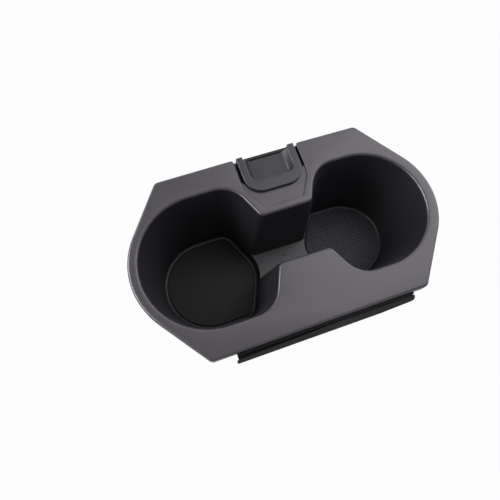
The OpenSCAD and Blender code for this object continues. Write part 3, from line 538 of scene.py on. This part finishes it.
def u_path(half_width, front, r, back, n):
    """Half of a U in plan, from its open back on +X to the middle of its front: a straight side with two
    points where the seat begins, a quarter arc of radius r and half of the straight front."""
    side_y = np.concatenate([np.linspace(back, seat_side, n_seat),
                             np.linspace(seat_side, front + r, n - n_seat)])
    corner = arc(half_width - r, front + r, r, 0, -90, n + 1)[1:]
    face_x = np.linspace(half_width - r, 0, n + 1)[1:]
    return np.concatenate([np.column_stack([np.full(n, half_width), side_y]), corner,
                           np.column_stack([face_x, np.full(n, front)])])


outer = u_path(pull_w, pull_front, pull_r, pull_stop, n_u)
inner = u_path(pocket_w, pocket_front, pocket_r, pull_stop, n_u)
floor_at = inner * [(pocket_w - pocket_lean) / pocket_w, 1] + [0, 0.25]
rise = (pocket_deepest - pocket_shallow) / (pull_back - pocket_front)
pocket_deep = pocket_deepest - (floor_at[:, 1] - pocket_front) * rise


def u_levels(edge=pull_edge, steps=6):
    """Rings of the cap from its lower outer edge over the rolled outer edge, the top face and the rolled
    inner edge, down the pocket's slope to its floor, where a low bead runs round the edge. Each roll is a
    quarter circle of the edge radius."""
    t = np.radians(np.linspace(0, 90, steps))
    away = inner - outer
    away /= np.linalg.norm(away, axis=1)[:, None]
    on_seat = np.arange(len(outer)) < n_seat
    rows = [np.column_stack([outer, deck_z - np.where(on_seat, seat_deep, lip_deep)]),
            np.column_stack([outer, np.full(len(outer), deck_z - lip_deep)])]
    top = deck_z + pull_top
    rows += [np.column_stack([outer + away * edge * (1 - np.cos(a)),
                              np.full(len(outer), top - edge * (1 - np.sin(a)))]) for a in t]
    near, far = outer + away * edge, inner - away * edge * 0.8
    rows += [np.column_stack([near + (far - near) * f, np.full(len(near), top)]) for f in (0.25, 0.5, 0.75)]
    slope, inner_edge, start = floor_at - inner, 0.8 * edge, 0.06
    rows += [np.column_stack([inner - away * inner_edge * (1 - np.sin(a)) + slope * start * (1 - np.cos(a)),
                              np.full(len(inner), top - inner_edge * (1 - np.cos(a)))]) for a in t]
    fall = (pull_top - inner_edge + pocket_deep) / (1 - start)
    rows += [np.column_stack([inner + slope * f, top - inner_edge + bead - fall * (f - start)])
             for f, bead in ((0.4, 0), (0.82, 0), (0.9, 0.35), (0.95, 0.3), (1.0, 0))]
    half = np.stack(rows)
    other = half[:, -2::-1] * [-1, 1, 1]
    return np.concatenate([half, other], 1)


shell_levels = u_levels()
shell_levels[..., 0] += latch_x
count = shell_levels.shape[1]
strip = np.stack([shell_levels[-1, :count // 2 + 1], shell_levels[-1, ::-1][:count // 2 + 1]])
seat_line = [latch_x, 0] + np.array([[pull_w, seat_side], [seat_w, seat_front],
                                     [-seat_w, seat_front], [-pull_w, seat_side]])
seat_wall = lift(np.stack([seat_line, seat_line]), [lip_deep, seat_deep])
lip_ring = np.concatenate([shell_levels[1, n_seat:count - n_seat], seat_wall[0, 2:0:-1]])
seat_ring = np.concatenate([shell_levels[0, :n_seat], seat_wall[1, 1:3], shell_levels[0, count - n_seat:]])
arms = []
for side in (-1, 1):
    x0, x1 = sorted([latch_x + side * arm_in, latch_x + side * pull_w])
    t = np.radians(np.linspace(0, 90, 6))
    roll_x, roll_z = pull_edge * (1 - np.cos(t)), pull_top - pull_edge * (1 - np.sin(t))
    profile = np.concatenate([[[x1, -seat_deep]], np.column_stack([x1 - roll_x, roll_z]),
                              np.column_stack([x0 + roll_x, roll_z])[::-1], [[x0, -seat_deep]]])
    ends = np.stack([np.column_stack([profile[:, 0], np.full(len(profile), y), deck_z + profile[:, 1]])
                     for y in (pull_stop, pull_back - 0.5, pull_back - 0.15, pull_back)])
    ends[-1, :, 0] += (x0 + x1) / 2 * 0.03 - ends[-1, :, 0] * 0.03
    ends[-1, :, 2] -= 0.3 * (ends[-1, :, 2] > deck_z)
    arms += [bands(ends), cap(ends[-1], turn=True), cap(ends[0])]
open_back = np.concatenate([shell_levels[:, 0], shell_levels[::-1, -1]])
pull_parts = [
    bands(shell_levels, turn=True, closed=False),
    bands(strip, turn=True, closed=False),
    bands(seat_wall, closed=False),
    cap(lip_ring), cap(seat_ring), cap(open_back), *arms,
]
# The pull's colour falls to 0.6 from 2.9 to 3.3 mm below the deck: painted shade on the pocket's floor and
# the lower part of its slopes.
pull_plastic = plastic("satin grey pull", (0.04, 0.035, 0.045), 0.33, 0.28, painted_shade_by_depth=(2.9, 3.3, 0.6, 0.1))
pull = make_piece("finger_pull", pull_parts, pull_plastic)
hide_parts("latch_knob")
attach(pull, "latch")

# Latch works: the black slider with its bolt, the retainer plate below it, two wire springs and the zinc
# screws keep their CAD solids, and take a moulded, a drawn-wire and a plated finish.


def metal(name, colour, rough, lines):
    """Plated or drawn steel on Object coordinates: long faint streaks from a stretched noise in gloss and
    colour, with a very fine bump."""
    m = bpy.data.materials.new(name)
    m.use_nodes = True
    nodes, links = m.node_tree.nodes, m.node_tree.links
    shader = nodes["Principled BSDF"]
    shader.inputs["Metallic"].default_value = 1
    place = nodes.new("ShaderNodeTexCoord")
    stretch = nodes.new("ShaderNodeMapping")
    stretch.inputs["Scale"].default_value = lines
    streak = nodes.new("ShaderNodeTexNoise")
    streak.inputs["Scale"].default_value = 400
    streak.inputs["Detail"].default_value = 3
    tint = nodes.new("ShaderNodeValToRGB")
    tint.color_ramp.elements[0].color = [c * 0.8 for c in colour] + [1]
    tint.color_ramp.elements[1].color = [min(1, c * 1.1) for c in colour] + [1]
    gloss = nodes.new("ShaderNodeMapRange")
    gloss.inputs["To Min"].default_value = rough - 0.08
    gloss.inputs["To Max"].default_value = rough + 0.1
    bump = nodes.new("ShaderNodeBump")
    bump.inputs["Distance"].default_value = 0.00002
    bump.inputs["Strength"].default_value = 0.5
    links.new(place.outputs["Object"], stretch.inputs["Vector"])
    links.new(stretch.outputs["Vector"], streak.inputs["Vector"])
    links.new(streak.outputs["Fac"], tint.inputs["Fac"])
    links.new(tint.outputs["Color"], shader.inputs["Base Color"])
    links.new(streak.outputs["Fac"], gloss.inputs["Value"])
    links.new(gloss.outputs["Result"], shader.inputs["Roughness"])
    links.new(streak.outputs["Fac"], bump.inputs["Height"])
    links.new(bump.outputs["Normal"], shader.inputs["Normal"])
    return m


black_plastic = plastic("black latch moulding", (0.01, 0.01, 0.011), 0.55, 0.2, grain=0.5)
zinc = metal("zinc plated screw", (0.55, 0.55, 0.53), 0.35, (1, 1, 0.2))
wire = metal("spring wire", (0.5, 0.5, 0.49), 0.28, (1, 0.3, 1))
for node, material in (("latch_slider", black_plastic), ("latch_retainer", black_plastic),
                       ("knob_screws", zinc), ("retainer_screws", zinc),
                       ("latch_spring_left", wire), ("latch_spring_right", wire)):
    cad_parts[node].data.materials.clear()
    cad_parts[node].data.materials.append(material)

# Slide rail: a black moulded strip on the front skirt. A web and a foot carry a lip that widens from 2.1 mm
# at its left end to the web's face past its middle; the lip has a coarse matt speckle. Four hooks hold it.
rail_x0, rail_x1, rail_low = latch_x - 64.5, latch_x + 64.5, 9.0
lip_x0, lip_x1, lip_front, lip_high = rail_x0 - 1.3, rail_x1 - 2.9, -70.0, 5.4
left_r, right_r = 0.7, 2.8
web_front, web_back, web_high = -65.6, -64.0, 3.2
foot_front, foot_back, foot_high = -69.0, -64.8, 7.4
hooks, hook_pitch = 4, 32.25


def swept(x, y_out, y_in, deep_high, edge):
    """A bar along X whose section is a rectangle with two rounded top edges, from y_out(x) to y_in(x)."""
    t = np.radians(np.linspace(0, 90, 5))
    z0, z1 = deck_z - rail_low, deck_z - deep_high
    y_out, y_in = np.broadcast_to(y_out, x.shape), np.broadcast_to(y_in, x.shape)
    e = np.minimum(edge, (y_in - y_out) / 2.2)
    rows = [np.column_stack([x, y_out, np.full(len(x), z0)])]
    rows += [np.column_stack([x, y_out + e * (1 - np.cos(a)), z1 - e * (1 - np.sin(a))]) for a in t]
    rows += [np.column_stack([x, y_in - e * (1 - np.sin(a)), z1 - e * (1 - np.cos(a))]) for a in t]
    rows += [np.column_stack([x, y_in, np.full(len(x), z0)])]
    levels = np.stack(rows, 1)
    return [bands(levels), cap(levels[0]), cap(levels[-1], turn=True)]


t = np.radians(np.linspace(0, 90, 9))
lip_x = np.concatenate([lip_x0 + left_r * (1 - np.cos(t)), np.linspace(lip_x0 + 1, lip_x1 - 3.2, 24),
                        lip_x1 - right_r * (1 - np.sin(t))])
lip_out = lip_front + 0.03 * np.maximum(lip_x - 40, 0)
lip_out[:9] += left_r * (1 - np.sin(t))
lip_out[-9:] += right_r * (1 - np.cos(t))
lip_in = np.interp(lip_x, [lip_x0, -16, 12, lip_x1], [-67.9, -66.6, -65.5, -65.5])
lip_in[:9] -= left_r * (1 - np.sin(t))
lip_in[-9:] -= 0.9 * (1 - np.cos(t))
bar_x = np.array([rail_x0, rail_x0 + 0.4, lip_x1 - 1.4, lip_x1 - 1])
rail_parts = [*swept(lip_x, lip_out, lip_in, lip_high, 0.6),
              *swept(bar_x, web_front, web_back, web_high, 0.3),
              *swept(bar_x, foot_front, foot_back, foot_high, 0.2)]
for hook in range(hooks):
    x = latch_x + (hook - (hooks - 1) / 2) * hook_pitch
    rail_parts += [block(x - 3, x + 3, foot_back, -59.9, 6.0, 4.4),
                   block(x - 2.9, x + 2.9, -61.5, -60, 4.6, 3.4)]

# The lip's speckled top is matt. Behind the lip's inner edge the web is smooth and its colour is painted
# down to 0.15 as shade in the groove, and everything lower than 6.8 mm below the deck, the groove's floor
# among it, falls to 0.15 as painted shade too.
black_rail = plastic("speckled black rail", (0.026, 0.026, 0.026), 0.6, 0.1, grain=0.9, depth=0.12,
                     mottle=0.3, painted_shade_by_depth=(5.9, 6.8, 0.15, 0.1))
nodes, links = black_rail.node_tree.nodes, black_rail.node_tree.links
place = nodes.new("ShaderNodeTexCoord")
across = nodes.new("ShaderNodeSeparateXYZ")
groove_shade_share = nodes.new("ShaderNodeMapRange")
groove_shade_share.inputs["From Min"].default_value = -0.0652
groove_shade_share.inputs["From Max"].default_value = -0.0658
groove_shade_share.inputs["To Min"].default_value = 0.15
painted_groove_shade = nodes.new("ShaderNodeVectorMath")
painted_groove_shade.operation = "SCALE"
shader = nodes["Principled BSDF"]
links.new(place.outputs["Object"], across.inputs["Vector"])
links.new(across.outputs["Y"], groove_shade_share.inputs["Value"])
links.new(shader.inputs["Base Color"].links[0].from_socket, painted_groove_shade.inputs[0])
links.new(groove_shade_share.outputs["Result"], painted_groove_shade.inputs["Scale"])
links.new(painted_groove_shade.outputs["Vector"], shader.inputs["Base Color"])
rail = make_piece("slide_rail_strip", rail_parts, black_rail)
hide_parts("slide_rail")
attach(rail, "tray")

# Floor, light and camera: white ground half a millimetre under the cups, a broad soft light overhead with
# weaker ones at the sides, cards that only show as thin highlights on the rims, and the photo's viewpoint.
ground_half, ground_z = 3.0, -0.0005


def bright_rays(nodes, links):
    """1 for the camera's, glossy and transmitted rays, which see a pure white surround, or else 0."""
    path = nodes.new("ShaderNodeLightPath")
    bright = path.outputs["Is Camera Ray"]
    for ray in ("Is Glossy Ray", "Is Transmission Ray"):
        larger = nodes.new("ShaderNodeMath")
        larger.operation = "MAXIMUM"
        links.new(bright, larger.inputs[0])
        links.new(path.outputs[ray], larger.inputs[1])
        bright = larger.outputs["Value"]
    return bright


floor = bpy.data.objects.new("ground", bpy.data.meshes.new("ground"))
ground_corners = [(-ground_half, -ground_half, ground_z), (ground_half, -ground_half, ground_z),
                  (ground_half, ground_half, ground_z), (-ground_half, ground_half, ground_z)]
floor.data.from_pydata(ground_corners, [], [(0, 1, 2, 3)])
bpy.context.scene.collection.objects.link(floor)
ground = bpy.data.materials.new("white ground")
ground.use_nodes = True
nodes, links = ground.node_tree.nodes, ground.node_tree.links
ground_shader = nodes["Principled BSDF"]
ground_shader.inputs["Base Color"].default_value = (0.6, 0.6, 0.6, 1)
ground_shader.inputs["Roughness"].default_value = 0.9
glow = nodes.new("ShaderNodeEmission")
mix = nodes.new("ShaderNodeMixShader")
share = nodes.new("ShaderNodeMath")
share.operation = "MULTIPLY"
share.inputs[1].default_value = 0.97
links.new(bright_rays(nodes, links), share.inputs[0])
links.new(share.outputs["Value"], mix.inputs["Fac"])
links.new(ground_shader.outputs["BSDF"], mix.inputs[1])
links.new(glow.outputs["Emission"], mix.inputs[2])
links.new(mix.outputs["Shader"], nodes["Material Output"].inputs["Surface"])
floor.data.materials.append(ground)

world = bpy.data.worlds.new("studio")
world.use_nodes = True
bpy.context.scene.world = world
nodes, links = world.node_tree.nodes, world.node_tree.links
strength = nodes.new("ShaderNodeMapRange")
strength.inputs["To Min"].default_value = 0.08
strength.inputs["To Max"].default_value = 1.0
links.new(bright_rays(nodes, links), strength.inputs["Value"])
nodes["Background"].inputs["Color"].default_value = (1, 1, 1, 1)
links.new(strength.outputs["Result"], nodes["Background"].inputs["Strength"])


def softbox(name, place, wide, tall, power, in_gloss_only=False):
    """A rectangular area light at place that faces the deck's middle. A card that only shows in gloss
    lights no colour."""
    lamp = bpy.data.lights.new(name, "AREA")
    lamp.shape = "RECTANGLE"
    lamp.size, lamp.size_y = wide, tall
    lamp.energy = power
    obj = bpy.data.objects.new(name, lamp)
    obj.visible_diffuse = not in_gloss_only
    bpy.context.scene.collection.objects.link(obj)
    obj.location = place
    obj.rotation_euler = (Vector((0, 0, 0.07)) - Vector(place)).to_track_quat("-Z", "Y").to_euler()


softbox("overhead", (0.7, 0.35, 1.5), 1.1, 1.1, 12.3)
softbox("left fill", (-1.15, 0.35, 0.8), 0.9, 0.4, 5)
softbox("right fill", (1.3, 0.2, 0.9), 0.9, 0.4, 2)
softbox("left card", (-1.2, 0.3, 0.75), 1.6, 0.6, 55, True)
softbox("right card", (1.2, 0.3, 0.8), 1.2, 0.5, 10, True)
softbox("back card", (0.1, 1.3, 0.6), 1.6, 0.4, 8, True)

camera = bpy.data.objects.new("camera", bpy.data.cameras.new("camera"))
camera.data.lens = 33.98
camera.data.sensor_width = 36
camera.data.clip_start = 0.01
camera.matrix_world = Matrix((
    (0.94086, 0.29861, -0.16002, -0.07983),
    (-0.33251, 0.9044, -0.26737, -0.08711),
    (0.06489, 0.30477, 0.95021, 0.37444),
    (0, 0, 0, 1)))
bpy.context.scene.collection.objects.link(camera)
bpy.context.scene.camera = camera
bpy.context.scene.view_settings.view_transform = "Standard"

bpy.context.view_layer.update()
